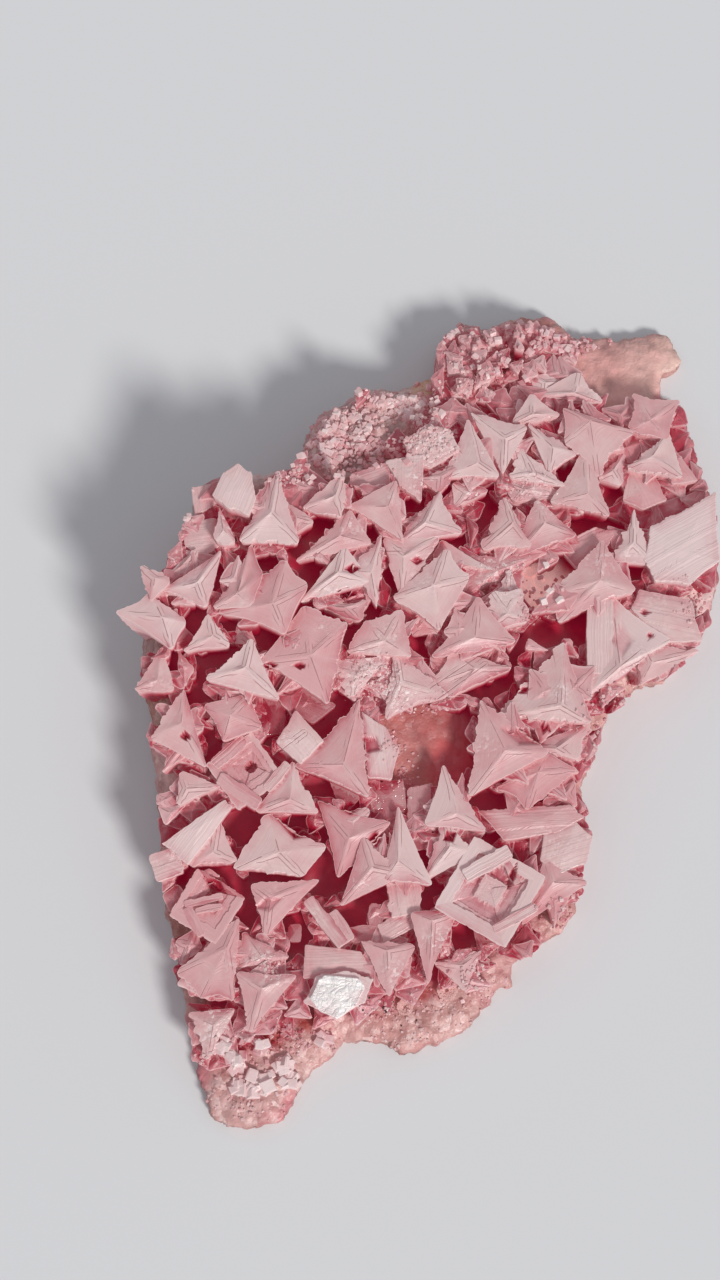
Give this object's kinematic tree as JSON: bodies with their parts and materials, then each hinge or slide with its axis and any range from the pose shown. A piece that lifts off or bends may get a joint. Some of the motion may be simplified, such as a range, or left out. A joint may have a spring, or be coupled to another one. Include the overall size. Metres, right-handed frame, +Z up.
{
  "type": "halite specimen",
  "caption": "Plate of pink salt crust covered with skeletal halite crystals that stand corner up and grow into each other, cut flat where it rests.",
  "frame": {"origin": "middle of the footprint, on the surface it rests on", "axes": "+Z up, +Y towards the narrow lobed end, +X towards the side where the crust is thin"},
  "size_m": [0.1232, 0.1718, 0.0343],
  "materials": {
    "salt_crust": "granular pink to orange salt, slightly translucent, with crimson in its hollows",
    "halite": "satin pale pink salt, translucent, crimson in the depths between the crystals"
  },
  "bodies": {
    "root": {"salt_crust": "salt_crust", "crystals_upper_left": "halite", "crystals_upper_left_2": "halite", "crystals_upper_left_3": "halite", "crystals_left_tip": "halite", "crystals_left_tip_2": "halite", "crystals_left": "halite", "crystals_left_2": "halite", "crystal_left_star": "halite", "crystals_left_knot": "halite", "crystals_left_knot_2": "halite", "crystals_left_hopper": "halite", "crystals_left_hopper_2": "halite", "crystals_upper_centre": "halite", "crystals_upper_centre_2": "halite", "crystals_upper_centre_3": "halite", "crystals_centre_left": "halite", "crystals_centre_left_2": "halite", "crystals_centre": "halite", "crystals_centre_2": "halite", "crystals_middle_cluster": "halite", "crystals_top_centre": "halite", "crystals_top_centre_2": "halite", "crystals_top": "halite", "crystals_top_2": "halite", "crystals_top_right": "halite", "crystals_top_right_2": "halite", "crystal_right_star": "halite", "crystal_right_star_2": "halite", "crystals_right_upper": "halite", "crystals_right_upper_2": "halite", "crystals_beside_channel": "halite", "crystal_channel_blade": "halite", "crystals_right": "halite", "crystals_great_pair": "halite", "crystals_centre_star": "halite", "crystals_centre_star_2": "halite", "crystals_lower_centre": "halite", "crystals_lower_right_star": "halite", "crystals_great_hopper": "halite", "crystals_great_hopper_2": "halite", "crystals_lower_fan": "halite", "crystals_lower_left_star": "halite", "crystals_lower_left_twin": "halite", "crystals_lower_left_hopper": "halite", "crystals_bottom": "halite", "crystals_bottom_2": "halite", "crystals_bottom_3": "halite", "crystals_bottom_4": "halite", "crystals_bottom_5": "halite"}
  },
  "joints": []
}
